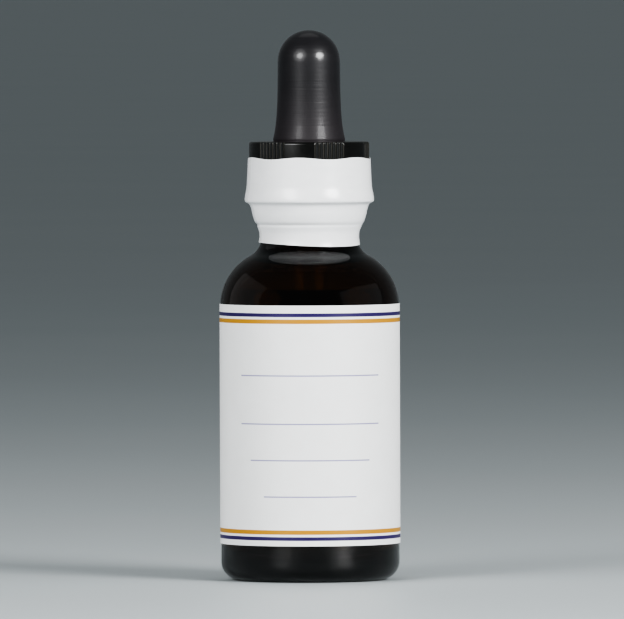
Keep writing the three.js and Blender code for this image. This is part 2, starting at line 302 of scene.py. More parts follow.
@dataclass(frozen=True)
class MouldedPlastic(Finish):
    """Black polypropylene from a polished steel mould: deep gloss, slight orange peel, paler rib crests."""

    ribbing: Ribbing
    skirt: float
    title: str = "black_polypropylene_injection_moulded"
    dark: str = "#0F0F0E"
    worn: str = "#191918"
    # Crest colour: partly rubbed grey wear, partly a painted highlight along the crests
    rubbed_and_glint: str = "#53514B"
    crest_mark_width: float = 0.2  # share of a rib
    haze_size: float = 6.0
    haze_span: Span = (0.35, 0.7)
    peel_size: float = 1.6
    peel_height: float = 0.006
    roughness: Span = (0.17, 0.26)
    ior: float = 1.49

    def crests(self, add: Adder, place: Socket) -> Node:
        """Marks the crests of the ribs on the skirt.

        The angle is wrapped into one panel and folded into the distance from the nearest crest, in ribs.

        Args:
            add: Adds a node to the material.
            place: Position on the cap.

        Returns:
            A mask that is 1 on a crest and 0 off the ribs.
        """
        ribs, step = self.ribbing.ribs, self.ribbing.step
        half_panel = TURN / self.ribbing.panels / 2.0
        axes = add("SeparateXYZ", (place,)).outputs
        turned = add("Math", (bearing(add, axes), self.ribbing.centre), operation="SUBTRACT")
        across = add("Math", (turned, half_panel, -half_panel), operation="WRAP")
        phase = add("Math", (across, 1.0 / step, ribs / 2.0), operation="MULTIPLY_ADD")
        distance = add("Math", (phase, 0.5), operation="PINGPONG")
        crest = add("MapRange", (distance, self.crest_mark_width, 0.0))
        aside = add("Math", (across,), operation="ABSOLUTE")
        ribbed = add("Math", (aside, (ribs + self.crest_mark_width) * step / 2.0), operation="LESS_THAN")
        level = add("CombineXYZ", (axes["X"], axes["Y"]))
        radius = add("VectorMath", (level,), operation="LENGTH")
        outside = add("Math", (radius, self.skirt * MM), operation="GREATER_THAN")
        on_ribs = add("Math", (crest, ribbed), operation="MULTIPLY")
        return add("Math", (on_ribs, outside), operation="MULTIPLY")

    def lay(self, add: Adder) -> None:
        """Adds orange peel, a haze from handling and paler rib crests: partly rubbed grey, partly a painted
        highlight.

        Args:
            add: Adds a node to the material.
        """
        place = add("TexCoord").outputs["Object"]
        haze = add(
            "TexNoise", {"Vector": place, "Scale": per_mm(self.haze_size), "Detail": 5.0, "Roughness": 0.65}
        )
        black = add("Mix", {0: haze, 6: self.dark, 7: self.worn}, data_type="RGBA")
        # Paler crests: partly rubbed wear, partly a painted highlight
        rub_and_glint = add("Math", (self.crests(add, place), haze), operation="MULTIPLY")
        colour = add("Mix", {0: rub_and_glint, 6: black, 7: self.rubbed_and_glint}, data_type="RGBA")
        gloss = add("MapRange", (haze, *self.haze_span, *self.roughness))
        peel = add("TexNoise", {"Vector": place, "Scale": per_mm(self.peel_size), "Detail": 1.0})
        skin = add("Bump", {"Height": peel, "Strength": 0.7, "Distance": self.peel_height * MM})
        look = {"Base Color": colour, "Roughness": gloss, "IOR": self.ior, "Normal": skin}
        add("OutputMaterial", {"Surface": add("BsdfPrincipled", look)})


@dataclass(frozen=True)
class ShrinkFilm(Finish):
    """White PVC film shrunk by hot air: opaque and half glossy, with soft uneven pulls in its highlights."""

    title: str = "white_pvc_film_heat_shrunk"
    white: str = "#F4F4F4"
    thin: str = "#EAEAEB"
    pull_size: float = 4.0
    pull_stretch: float = 2.8
    pull_height: float = 0.05
    roughness: Span = (0.19, 0.27)
    ior: float = 1.53

    def lay(self, add: Adder) -> None:
        """Adds level pulls in the film, which thin its white and roughen its gloss a little.

        Args:
            add: Adds a node to the material.
        """
        place = add("TexCoord").outputs["Object"]
        level = add("Mapping", {"Vector": place, "Scale": (1.0, 1.0, self.pull_stretch)})
        pulls = add("TexNoise", {"Vector": level, "Scale": per_mm(self.pull_size), "Detail": 3.0})
        colour = add("Mix", {0: pulls, 6: self.white, 7: self.thin}, data_type="RGBA")
        gloss = add("MapRange", (pulls, 0.0, 1.0, *self.roughness))
        skin = add("Bump", {"Height": pulls, "Strength": 0.6, "Distance": self.pull_height * MM})
        look = {"Base Color": colour, "Roughness": gloss, "IOR": self.ior, "Normal": skin}
        add("OutputMaterial", {"Surface": add("BsdfPrincipled", look)})


class Ink(Enum):
    """Printing inks of the label."""

    INDIGO = "#32245C"
    GOLD = "#BC892C"
    PALE_INDIGO = "#8E8AB0"


@dataclass(frozen=True)
class Stripe:
    """A printed line: height of its middle over the label's lower edge, width, ink and half length.

    One that runs all the way round has no half length.
    """

    height: float
    width: float
    ink: Ink
    half_length: float | None = None


@dataclass(frozen=True)
class PrintedPaper(Finish):
    """White coated paper, offset-printed: a soft sheen over faint fibre, with crisp and glossier ink."""

    bottom: float
    radius: float
    stripes: tuple[Stripe, ...]
    title: str = "white_coated_paper_offset_printed"
    white: str = "#F2F2F2"
    shade: str = "#EBEBEA"
    ink_edge: float = 0.05
    mottle_size: float = 4.0
    fibre_size: float = 0.35  # coarser than real fibre, so that it shows
    fibre_height: float = 0.004
    roughness: Span = (0.46, 0.34)  # of bare paper and of ink
    ior: float = 1.48

    def line(self, add: Adder, along: Node | Socket, middle: float, width: float) -> Node:
        """Marks a printed line.

        Args:
            add: Adds a node to the material.
            along: Distance across the line, in metres.
            middle: Where the line's middle is, in millimetres.
            width: The line's width, in millimetres.

        Returns:
            A mask that is 1 on the line and 0 off it.
        """
        shift = add("Math", (along, middle * MM), operation="SUBTRACT")
        distance = add("Math", (shift,), operation="ABSOLUTE")
        bare, full = (width + self.ink_edge) / 2.0, (width - self.ink_edge) / 2.0
        return add("MapRange", (distance, bare * MM, full * MM))

    def lay(self, add: Adder) -> None:
        """Adds mottled paper, its fibre and the printed stripes.

        Args:
            add: Adds a node to the material.
        """
        place = add("TexCoord").outputs["Object"]
        axes = add("SeparateXYZ", (place,)).outputs
        along = add("Math", (bearing(add, axes), self.radius * MM), operation="MULTIPLY")
        mottle = add("TexNoise", {"Vector": place, "Scale": per_mm(self.mottle_size), "Detail": 3.0})
        colour = add("Mix", {0: mottle, 6: self.white, 7: self.shade}, data_type="RGBA")
        inked: Node | float = 0.0
        for stripe in self.stripes:
            mask = self.line(add, axes["Z"], self.bottom + stripe.height, stripe.width)
            if stripe.half_length is not None:
                reach = self.line(add, along, 0.0, 2.0 * stripe.half_length)
                mask = add("Math", (mask, reach), operation="MULTIPLY")
            colour = add("Mix", {0: mask, 6: colour, 7: stripe.ink.value}, data_type="RGBA")
            inked = add("Math", (inked, mask), operation="MAXIMUM")
        gloss = add("MapRange", (inked, 0.0, 1.0, *self.roughness))
        fibre = add("TexNoise", {"Vector": place, "Scale": per_mm(self.fibre_size), "Detail": 3.0})
        skin = add("Bump", {"Height": fibre, "Strength": 0.5, "Distance": self.fibre_height * MM})
        look = {"Base Color": colour, "Roughness": gloss, "IOR": self.ior, "Normal": skin}
        add("OutputMaterial", {"Surface": add("BsdfPrincipled", look)})


# Profiles and surfaces


def arc(centre: Span, radius: float, start: float, end: float, steps: int = 12) -> Array:
    """Points of a circle's arc in a profile.

    Args:
        centre: Distance from the axis and height of the circle's middle.
        radius: The circle's radius.
        start: First angle in degrees, from the outward direction towards up.
        end: Last angle in degrees.
        steps: Steps along the arc.

    Returns:
        One row of radius and height for each point.
    """
    angle = np.radians(np.linspace(start, end, steps + 1))
    return np.column_stack((centre[0] + radius * np.cos(angle), centre[1] + radius * np.sin(angle)))


def eased(corners: Sequence[Triple], steps: int = 6) -> Array:
    """A path with rounded corners.

    With s and e at a corner's ease before and after it, its rounding is (1-t)^2 s + 2t(1-t) c + t^2 e.

    Args:
        corners: Radius, height and ease of each corner. The first and last ones aren't rounded.
        steps: Steps along each rounding.

    Returns:
        One row of radius and height for each point.
    """
    table = np.array(corners, float)
    corner, ease = table[:, :2], table[:, 2:].copy()
    ease[[0, -1]] = 0.0
    step = np.diff(corner, axis=0)
    step /= np.linalg.norm(step, axis=1, keepdims=True)
    start = corner - ease * np.vstack((step[:1], step))
    end = corner + ease * np.vstack((step, step[-1:]))
    t = np.linspace(0.0, 1.0, steps + 1)[None, :, None]
    path = (1 - t) ** 2 * start[:, None] + 2 * t * (1 - t) * corner[:, None] + t**2 * end[:, None]
    path = path.reshape(-1, 2)
    moved = np.linalg.norm(np.diff(path, axis=0), axis=1) > WELD
    return path[np.concatenate(([True], moved))]


def spaced(profile: Array, step: float) -> Array:
    """The same path with points at even steps along its length.

    Args:
        profile: Rows of radius and height.
        step: Longest distance between points.

    Returns:
        The evenly spaced rows.
    """
    gaps = np.linalg.norm(np.diff(profile, axis=0), axis=1)
    along = np.concatenate(([0.0], np.cumsum(gaps)))
    even = np.linspace(0.0, along[-1], int(np.ceil(along[-1] / step)) + 1)
    return np.column_stack([np.interp(even, along, profile[:, k]) for k in (0, 1)])


def around(count: int) -> Array:
    """Evenly spaced angles of one full turn."""
    return np.linspace(0.0, TURN, count, endpoint=False)


def smooth(value: Array) -> Array:
    """An S-curve from 0 to 1: 3v^2 - 2v^3, with v held between 0 and 1."""
    held = np.clip(value, 0.0, 1.0)
    return held * held * (3.0 - 2.0 * held)


def apart(angles: Array, middle: float) -> Array:
    """Smallest signed difference of angles from a middle one."""
    return (angles - middle + np.pi) % TURN - np.pi


def revolve(radius: Array | float, height: Array, angles: Array) -> Array:
    """Carries a profile round the axis: (r sin a, -r cos a, h) for each row of the profile and each angle.

    Args:
        radius: Distance from the axis, by row and angle or the same for all.
        height: Height, by row and angle.
        angles: Angles of the columns, or of each point.

    Returns:
        Points by row and column.
    """
    r, h, a = np.broadcast_arrays(radius, height, angles)
    return np.stack((r * np.sin(a), -r * np.cos(a), h), axis=-1)


def lay_mesh(
    title: str,
    points: Array,
    loop_rows: bool,
    loop_columns: bool = True,
    ends: Sequence[Quads] = (),
    sharp: float = 38.0,
) -> Mesh:
    """Lays a grid of points in millimetres down as a mesh in metres, with its poles and seams closed.

    Each face goes from a point to the next column, then to the next row.

    Args:
        title: The mesh's name.
        points: Points by row and column.
        loop_rows: Whether the last row joins the first. If not, a turned grid starts and ends on the axis.
        loop_columns: Whether the last column joins the first.
        ends: Faces that close an open grid, as four point numbers each.
        sharp: Angle in degrees past which an edge is a crisp one.

    Returns:
        The mesh, smooth between its crisp edges.
    """
    rows, columns = points.shape[:2]
    i, j = np.indices((rows - (not loop_rows), columns - (not loop_columns)))
    up, across = (i + 1) % rows, (j + 1) % columns
    corners = (i * columns + j, i * columns + across, up * columns + across, up * columns + j)
    quads = np.concatenate((np.stack(corners, axis=-1).reshape(-1, 4), *ends))
    mesh = bpy.data.meshes.new(title)
    places = points.reshape(-1, 3) * MM
    mesh.vertices.add(len(places))
    mesh.vertices.foreach_set("co", places.ravel())
    mesh.loops.add(quads.size)
    mesh.loops.foreach_set("vertex_index", quads.ravel())
    mesh.polygons.add(len(quads))
    mesh.polygons.foreach_set("loop_start", np.arange(0, quads.size, 4))
    mesh.update(calc_edges=True)
    weld = bmesh.new()
    weld.from_mesh(mesh)
    bmesh.ops.remove_doubles(weld, verts=weld.verts, dist=WELD * MM)
    weld.to_mesh(mesh)
    weld.free()
    mesh.shade_smooth()
    mesh.set_sharp_from_angle(angle=np.radians(sharp))
    return mesh


# Pieces


@dataclass(frozen=True)
class NodeBox:
    """Radius and lowest and highest points of a solid that is turned round the axis, in millimetres."""

    radius: float
    bottom: float
    top: float


@dataclass
class Piece(ABC):
    """A visible piece that stands for one solid of the frame and rides on that solid's body."""

    title: ClassVar[str]
    node: ClassVar[str]
    body: ClassVar[Body]

    @cached_property
    def box(self) -> NodeBox:
        """Box of the solid, read once, before the piece takes the solid's place."""
        low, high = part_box(self.node)
        return NodeBox(high.x / MM, low.z / MM, high.z / MM)

    @abstractmethod
    def mesh(self) -> Mesh:
        """Builds the piece's mesh."""

    @property
    @abstractmethod
    def finish(self) -> Finish:
        """The piece's finish."""

    def build(self) -> bpy.types.Object:
        """Builds and dresses the piece and puts it on its body.

        Returns:
            The piece.
        """
        piece = bpy.data.objects.new(self.title, self.mesh())
        bpy.context.scene.collection.objects.link(piece)
        piece.data.materials.append(self.finish.material())
        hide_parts(self.node)
        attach(piece, self.body.value)
        LOG.info("%s: %d faces on %s", self.title, len(piece.data.polygons), self.body.value)
        return piece


@dataclass(frozen=True)
class Thread:
    """A single-start right-hand thread: a ridge of trapezium section on a helix, fading at both ends."""

    bottom: float
    first_turn: float
    turns: float
    depth: float
    base_width: float
    crest_width: float
    pitch: float = 25.4 / 8.0
    run_out: float = 0.1
    end_share: float = 0.3

    def rise(self, angles: Array, heights: Array) -> Array:
        """Height of the ridge off its wall.

        Each lap of the helix stands at bottom + pitch * turn. The ridge falls to nothing over its flanks,
        and its share of full depth falls towards the thread's two ends.

        Args:
            angles: Angles of the columns.
            heights: Heights of the rows.

        Returns:
            Rise by row and column.
        """
        turn = angles[None, None, :] / TURN + np.arange(-2, 3)[:, None, None]
        off = np.abs(heights[None, :, None] - self.bottom - self.pitch * turn)
        ridge = smooth((self.base_width / 2.0 - off) / ((self.base_width - self.crest_width) / 2.0))
        from_end = np.minimum(turn - self.first_turn, self.first_turn + self.turns - turn)
        fade = self.end_share + (1.0 - self.end_share) * np.clip(from_end / self.run_out, 0.0, 1.0)
        return self.depth * np.max(ridge * np.where(from_end < 0.0, 0.0, fade), axis=0)


NECK_THREAD = Thread(bottom=73.2, first_turn=0.0, turns=1.1, depth=0.95, base_width=1.6, crest_width=0.8)
CAP_THREAD = Thread(bottom=72.1, first_turn=-0.1, turns=1.0, depth=0.86, base_width=1.4, crest_width=0.6)


@dataclass(frozen=True)
class Ridge:
    """A soft ridge or groove across a surface: height * exp(-(distance / width)^2)."""

    height: float
    width: float

    def rise(self, distance: Array) -> Array:
        """Height at a distance from the ridge's middle."""
        return self.height * np.exp(-((distance / self.width) ** 2))


@dataclass
class Bottle(Piece):
    """Round-shouldered glass bottle with a hollow base, a beaded and threaded neck and two mould seams."""

    title = "amber_glass_bottle"
    node = "bottle"
    body = Body.FILLED_BOTTLE
    finish = Glass()

    wall: float = 2.3
    base_thickness: float = 3.2
    heel: float = 3.4
    foot_inner: float = 9.6
    push_up: float = 1.3
    shoulder_start: float = 50.7
    shoulder_radius: float = 10.5
    neck_radius: float = 8.9
    neck_fillet: float = 3.85
    bead_height: float = 66.9
    bead_bulge: float = 1.15
    thread_root: float = 8.8
    bore: float = 5.7
    bore_fillet: float = 3.0
    lip: float = 0.7
    thread_step: float = 0.12
    hollow_rows: int = 12
    columns: int = 180
    seam_angles: Span = (1.75, 1.75 + np.pi)
    seam: Ridge = Ridge(0.05, 0.16)
    seam_reach: float = 2.0  # widths to either side of its middle
    seam_columns: int = 13

    def shoulder(self, radius: float, neck: float, fillet: float) -> Array:
        """Shoulder of the outside or inside: an arc off the wall, then a tangent fillet up into the neck.

        The two circles touch, so their middles are the sum of their radii apart.

        Args:
            radius: Radius of the shoulder's arc.
            neck: Radius of the neck.
            fillet: Radius of the fillet.

        Returns:
            Rows of radius and height, going up.
        """
        middle = self.box.radius - self.shoulder_radius
        across = neck + fillet - middle
        rise = np.sqrt((radius + fillet) ** 2 - across**2)
        tangent = np.degrees(np.arctan2(rise, across))
        round_part = arc((middle, self.shoulder_start), radius, 0.0, tangent, 24)
        hollow_part = arc((neck + fillet, self.shoulder_start + rise), fillet, 180.0 + tangent, 180.0, 14)
        return np.vstack((round_part, hollow_part[1:]))

    def cavity(self, inset: float = 0.0) -> Array:
        """Inside of the bottle from the middle of its floor up to the neck.

        Args:
            inset: Distance by which the profile is drawn in from the glass.

        Returns:
            Rows of radius and height, going up.
        """
        radius = self.box.radius - self.wall - inset
        floor = self.base_thickness + inset
        corner = arc((radius - self.heel, floor + self.heel), self.heel, -90.0, 0.0)
        top = self.shoulder(self.shoulder_radius - self.wall - inset, self.bore - inset, self.bore_fillet)
        return np.vstack(([(0.0, floor)], corner, top))

    def mesh(self) -> Mesh:
        """Turns the foot, wall, shoulder, neck and inside, then raises the thread and the mould seams.

        The base's hollow is a parabola, push_up * (1 - (r / foot_inner)^2).

        Returns:
            The bottle's mesh.
        """
        radius, rim = self.box.radius, self.box.top
        hollow = np.linspace(0.0, self.foot_inner, self.hollow_rows)
        foot = np.column_stack((hollow, self.push_up * (1.0 - (hollow / self.foot_inner) ** 2)))
        heel = arc((radius - self.heel, self.heel), self.heel, -90.0, 0.0, 16)
        shoulder = self.shoulder(self.shoulder_radius, self.neck_radius, self.neck_fillet)
        bead = arc((self.neck_radius, self.bead_height), self.bead_bulge, -90.0, 90.0, 18)
        lower = np.vstack((heel, shoulder, bead))
        root = np.array([(self.thread_root, bead[-1, 1]), (self.thread_root, rim - self.lip)])
        screw = spaced(root, self.thread_step)
        lip_out = arc((self.thread_root - self.lip, rim - self.lip), self.lip, 0.0, 90.0, 8)[1:]
        lip_in = arc((self.bore + self.lip, rim - self.lip), self.lip, 90.0, 180.0, 8)
        profile = np.vstack((foot, lower, screw, lip_out, lip_in, self.cavity()[::-1]))
        reach = self.seam_reach * self.seam.width / radius
        seams = np.add.outer(self.seam_angles, np.linspace(-reach, reach, self.seam_columns)) % TURN
        angles = np.unique(np.concatenate((around(self.columns), seams.ravel())))
        r = np.repeat(profile[:, :1], len(angles), axis=1)
        low, high = len(foot), len(foot) + len(lower)
        for middle in self.seam_angles:
            ridge = self.seam.rise(apart(angles, middle) * radius)
            r[low:high] += ridge * smooth(profile[low:high, 1:] / self.heel)
        r[high : high + len(screw)] += NECK_THREAD.rise(angles, screw[:, 1])
        return lay_mesh(self.title, revolve(r, profile[:, 1:], angles), loop_rows=False)


@dataclass
class Pipette(Piece):
    """Clear glass tube drawn down to a fine tip."""

    title = "glass_pipette"
    node = "pipette"
    body = Body.DROPPER
    finish = Glass(title="clear_glass_drawn_tube", absorbed="#E8F2EC", density=40.0, wave_height=0.01)

    bore: float = 2.6
    taper: float = 13.0
    tip_radius: float = 1.35
    tip_bore: float = 0.6
    tip_land: float = 2.0
    columns: int = 72

    def wall(self, tip_radius: float, stem_radius: float, low: float, top: float) -> Array:
        """Outside or bore of the tube from its tip upwards, with its taper eased at both ends.

        Args:
            tip_radius: Radius at the tip.
            stem_radius: Radius of the stem.
            low: Height at which the profile starts.
            top: Height at which it stops.

        Returns:
            Rows of radius and height, going up.
        """
        land = (tip_radius, self.box.bottom + self.tip_land, 1.0)
        stem = (stem_radius, self.box.bottom + self.taper, 2.0)
        return eased(((tip_radius, low, 0.0), land, stem, (stem_radius, top, 0.0)), steps=10)

    def outside(self, gap: float, top: float) -> Array:
        """Outside of the tube up to a height, grown off the glass by a gap."""
        return self.wall(self.tip_radius + gap, self.box.radius + gap, self.box.bottom - gap, top)

    def mesh(self) -> Mesh:
        """Turns the outside and the bore of the tube.

        Returns:
            The pipette's mesh.
        """
        top = self.box.top
        bore = self.wall(self.tip_bore, self.bore, self.box.bottom, top)
        profile = np.vstack((self.outside(0.0, top), bore[::-1]))
        points = revolve(profile[:, :1], profile[:, 1:], around(self.columns))
        return lay_mesh(self.title, points, loop_rows=True)


@dataclass
class Extract(Piece):
    """Liquid in the bottle, with the pipette's hole in it and a meniscus on both."""

    title = "herb_extract_fill"
    node = "extract"
    body = Body.FILLED_BOTTLE
    finish = HERB_EXTRACT

    bottle: Bottle
    pipette: Pipette
    gap: float = 0.06
    pipette_gap: float = 0.1
    climb: float = 0.7
    climb_length: float = 0.8
    top_rows: int = 40
    columns: int = 128

    def mesh(self) -> Mesh:
        """Turns the wetted inside of the bottle, the liquid's top and the pipette's hole.

        The top lies a small dip below the fill height and climbs at both walls as climb * exp(-d / length),
        with d the distance from the wall.

        Returns:
            The liquid's mesh.
        """
        level = self.box.top
        inside = self.bottle.cavity(self.gap)
        wet = inside[inside[:, 1] < level]
        edge = float(np.interp(level, inside[:, 1], inside[:, 0]))
        hole = self.pipette.outside(self.pipette_gap, level)
        stem = hole[-1, 0]
        share = (1.0 - np.cos(np.linspace(0.0, np.pi, self.top_rows))) / 2.0
        r = edge + (stem - edge) * share
        climbs = np.exp(-(edge - r) / self.climb_length) + np.exp(-(r - stem) / self.climb_length)
        top = np.column_stack((r, level - self.climb + self.climb * climbs))
        top[:, 1] = np.minimum(top[:, 1], level)
        profile = np.vstack((wet, top, hole[::-1][1:], [(0.0, hole[0, 1])]))
        points = revolve(profile[:, :1], profile[:, 1:], around(self.columns))
        return lay_mesh(self.title, points, loop_rows=False)


@dataclass
class Label(Piece):
    """Paper label wrapped nearly all the way round, with rounded corners at its open seam."""

    title = "striped_wrap_label"
    node = "label"
    body = Body.FILLED_BOTTLE

    snug: float = 0.09  # how much closer the paper lies than the solid's outside
    thickness: float = 0.1
    bottom_trim: float = 0.15
    half_angle: float = np.radians(171.0)
    corner: float = 1.6
    corner_rows: int = 10
    columns: int = 320
    # Ink, width, and distances from the top and the bottom edge
    edge_stripes: tuple[tuple[Ink, float, float, float], ...] = (
        (Ink.INDIGO, 0.68, 1.78, 1.5),
        (Ink.GOLD, 0.8, 2.97, 2.68),
    )
    rule_width: float = 0.22
    rules: tuple[Span, ...] = ((31.5, 14.4), (22.6, 14.4), (15.9, 12.0), (9.2, 9.0))  # height, half length

    def mesh(self) -> Mesh:
        """Bends a sheet with rounded corners round the bottle and gives it its thickness.

        At a distance d below one of its level edges, the sheet's end is drawn in by
        corner - sqrt(corner^2 - (corner - d)^2) while d is less than the corner's radius.

        Returns:
            The label's mesh.
        """
        outer = self.box.radius - self.snug
        low, high = self.box.bottom + self.bottom_trim, self.box.top
        bend = self.corner * (1.0 - np.cos(np.linspace(0.0, np.pi / 2.0, self.corner_rows + 1)))
        heights = np.concatenate((low + bend, high - bend[::-1]))
        short = np.clip(self.corner - np.minimum(heights - low, high - heights), 0.0, None)
        drawn_in = self.corner - np.sqrt(self.corner**2 - short**2)
        reach = self.half_angle - drawn_in / outer
        angles = reach[:, None] * np.linspace(-1.0, 1.0, self.columns + 1)
        face, underside = (revolve(r, heights[:, None], angles) for r in (outer, outer - self.thickness))
        points = np.concatenate((face, underside[::-1]))
        rows, columns = points.shape[:2]
        front = np.arange(len(heights) - 1)
        back = rows - 1 - front
        start = np.stack((front, front + 1, back - 1, back), axis=-1) * columns
        end = start[:, ::-1] + columns - 1
        return lay_mesh(self.title, points, loop_rows=True, loop_columns=False, ends=(start, end))

    @property
    def finish(self) -> Finish:
        """Printed paper with stripes along its top and bottom and a few bare lines to write on.

        Returns:
            The label's finish.
        """
        height = self.box.top - self.box.bottom
        stripes = [Stripe(rule, self.rule_width, Ink.PALE_INDIGO, half) for rule, half in self.rules]
        for ink, width, from_top, from_bottom in self.edge_stripes:
            stripes += [Stripe(height - from_top, width, ink), Stripe(from_bottom, width, ink)]
        return PrintedPaper(self.box.bottom, self.box.radius, tuple(stripes))


@dataclass
class Cap(Piece):
    """Screw cap with grooved panels, smooth panels between, a hole in its top and a thread inside."""

    title = "ribbed_screw_cap"
    node = "cap"
    body = Body.CLOSURE

    radius: float = 11.1
    bore: float = 9.98
    hole: float = 6.9
    top_wall: float = 1.35
    thread_top_gap: float = 0.5
    thread_foot_gap: float = 0.4
    ribbing: Ribbing = Ribbing()
    rib_depth: float = 0.28
    rib_fade: float = 0.5
    thread_step: float = 0.2
    columns: int = 720

    def groove(self, angles: Array) -> Array:
        """Depth of the grooves round the skirt, from 0 on a crest to 1 in a groove.

        Within a ribbed panel it is |sin| of half a turn for each rib, so narrow crests part round grooves.
        Elsewhere it is nothing.

        Args:
            angles: Angles of the columns.

        Returns:
            Groove depth by column.
        """
        ribbing = self.ribbing
        panel = TURN / ribbing.panels
        across = (angles - ribbing.centre + panel / 2.0) % panel - panel / 2.0
        within = np.abs(across) < ribbing.ribs * ribbing.step / 2.0
        phase = across / ribbing.step + ribbing.ribs / 2.0
        return np.where(within, np.abs(np.sin(np.pi * phase)), 0.0)

    def mesh(self) -> Mesh:
        """Turns the skirt, top and bore, cuts the grooves and raises the thread.

        Returns:
            The cap's mesh.
        """
        low, high = self.box.bottom, self.box.top
        ceiling = high - self.top_wall
        rim = (self.radius + self.bore) / 2.0
        thread_top, thread_foot = ceiling - self.thread_top_gap, low + self.thread_foot_gap
        skirt = ((rim, low, 0.0), (self.radius, low, 0.15), (self.radius, high, 0.5))
        top = ((self.hole, high, 0.3), (self.hole, ceiling, 0.1), (self.bore, ceiling, 0.25))
        outside = eased(skirt + top + ((self.bore, thread_top, 0.0),))
        bore = spaced(np.array([(self.bore, thread_top), (self.bore, thread_foot)]), self.thread_step)[1:]
        foot = eased(((self.bore, thread_foot, 0.0), (self.bore, low, 0.25), (rim, low, 0.0)))[1:-1]
        profile = np.vstack((outside, bore, foot))
        angles = around(self.columns) + self.ribbing.centre
        r = np.repeat(profile[:, :1], len(angles), axis=1)
        on_skirt = smooth((profile[:, 0] - rim) / (self.radius - rim))
        under_top = smooth((high - profile[:, 1]) / self.rib_fade)
        r -= self.rib_depth * (on_skirt * under_top)[:, None] * self.groove(angles)
        rows = slice(len(outside), len(outside) + len(bore))
        r[rows] -= CAP_THREAD.rise(angles % TURN, bore[:, 1])
        return lay_mesh(self.title, revolve(r, profile[:, 1:], angles), loop_rows=True, sharp=50.0)

    @property
    def finish(self) -> Finish:
        """Glossy black plastic."""
        return MouldedPlastic(self.ribbing, self.radius - 2.0 * self.rib_depth)


@dataclass
class Band(Piece):
    """Shrink film over the cap's skirt, drawn in under the cap, over the neck's bead and onto the neck."""

    title = "white_shrink_band"
    node = "band"
    body = Body.FILLED_BOTTLE
    finish = ShrinkFilm()

    cap: Cap
    film: float = 0.14
    top: float = 78.03
    bottom: float = 62.2
    top_wave: float = 0.17
    bottom_tilt: float = 0.36
    tilt_bearing: float = np.radians(34.0)
    bottom_wave: float = 0.12
    hem: float = 2.5
    facet: float = 0.045
    fold_angles: Span = (1.9, 1.9 + np.pi)
    fold: Ridge = Ridge(0.03, 0.35)
    crease: Ridge = Ridge(0.25, 0.28)
    crease_height: float = 65.75
    crease_bearing: float = np.radians(-55.0)
    pull: float = 0.006
    pulls: int = 7
    pull_waves: tuple[int, int] = (2, 9)
    pull_tilts: Span = (-1.2, 1.2)
    seed: int = 5
    step: float = 0.16
    columns: int = 432

    def outline(self) -> Array:
        """Outside of the film from its lower edge up to its top edge.

        Returns:
            Rows of radius and height.
        """
        neck = ((9.38, self.bottom, 0.0), (9.20, 63.2, 0.6), (9.24, 64.3, 0.4), (9.60, 65.3, 0.5))
        bead = ((10.17, 66.35, 0.5), (10.50, 67.4, 0.5), (10.74, 68.6, 0.4), (10.98, 69.35, 0.3))
        cap_foot = ((11.24, 69.6, 0.15), (11.94, 69.98, 0.2), (11.96, 70.4, 0.15), (11.88, 71.1, 0.4))
        skirt = ((11.6, 72.3, 0.6), (11.47, 74.4, 0.8), (11.32, self.top, 0.0))
        return eased(neck + bead + cap_foot + skirt)

    def mesh(self) -> Mesh:
        """Turns the film, waves and tilts its edges, and pulls it unevenly.

        The top edge follows the cap as -top_wave * cos(panels * (a - centre)), fading over the hem, and the
        lower one hangs as -bottom_tilt * cos(a - bearing) - bottom_wave * cos 2(a - bearing). The flat
        tube's two old folds are ridges. The crease under the cap is a groove whose depth round the neck goes
        as (1 + cos(a - bearing)) / 2, and the pulls are a few slow sine waves with seeded phases.

        Returns:
            The band's mesh.
        """
        outside = spaced(self.outline(), self.step)
        angles = around(self.columns)
        r, z = outside[:, :1], outside[:, 1:]
        panel = np.cos(self.cap.ribbing.panels * (angles - self.cap.ribbing.centre))
        lift = smooth((z - self.top + self.hem) / self.hem)
        drop = smooth((self.bottom + self.hem - z) / self.hem)
        turn = angles - self.tilt_bearing
        hang = self.bottom_tilt * np.cos(turn) + self.bottom_wave * np.cos(2.0 * turn)
        height = z - self.top_wave * panel * lift - hang * drop
        over_cap = smooth((z - self.cap.box.bottom) / self.hem)
        radius = r + self.facet * panel * over_cap
        for middle in self.fold_angles:
            radius += self.fold.rise(apart(angles, middle) * r)
        groove = self.crease.rise(z - self.crease_height)
        radius -= groove * (1.0 + np.cos(angles - self.crease_bearing)) / 2.0
        draw = np.random.default_rng(self.seed)
        for _ in range(self.pulls):
            waves = draw.integers(*self.pull_waves)
            tilt = draw.uniform(*self.pull_tilts)
            phase = draw.uniform(0.0, TURN)
            radius += self.pull * np.sin(waves * angles + tilt * z + phase)
        radius = np.vstack((radius, radius[::-1] - self.film))
        points = revolve(radius, np.vstack((height, height[::-1])), angles)
        return lay_mesh(self.title, points, loop_rows=True, sharp=60.0)


